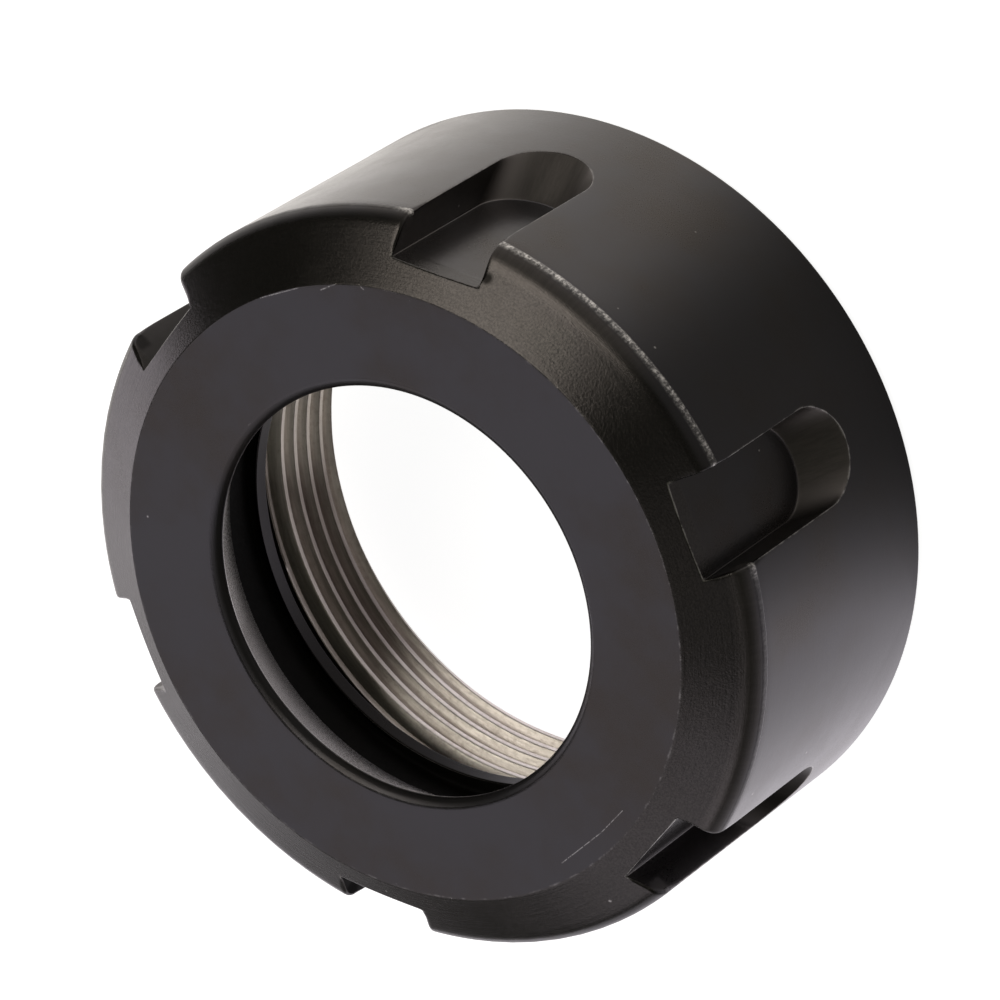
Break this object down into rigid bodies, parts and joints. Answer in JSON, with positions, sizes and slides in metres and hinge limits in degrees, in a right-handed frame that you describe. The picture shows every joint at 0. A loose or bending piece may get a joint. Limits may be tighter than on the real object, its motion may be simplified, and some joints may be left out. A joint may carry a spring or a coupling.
{
  "type": "collet nut",
  "caption": "Blackened steel collet clamping nut with a sloped front cone, open wrench slots round the rim, a conical collet seat, an eccentric extractor ring and an inside thread.",
  "frame": {"origin": "centre of the back face, on the thread axis; the nut stands on this face", "axes": "+Z along the axis, out of the front face; +X through the middle of a wrench slot"},
  "size_m": [0.05, 0.05, 0.0225],
  "materials": {
    "black_steel": "black oxide, satin"
  },
  "bodies": {
    "root": {"nut_body": "black_steel"}
  },
  "joints": []
}
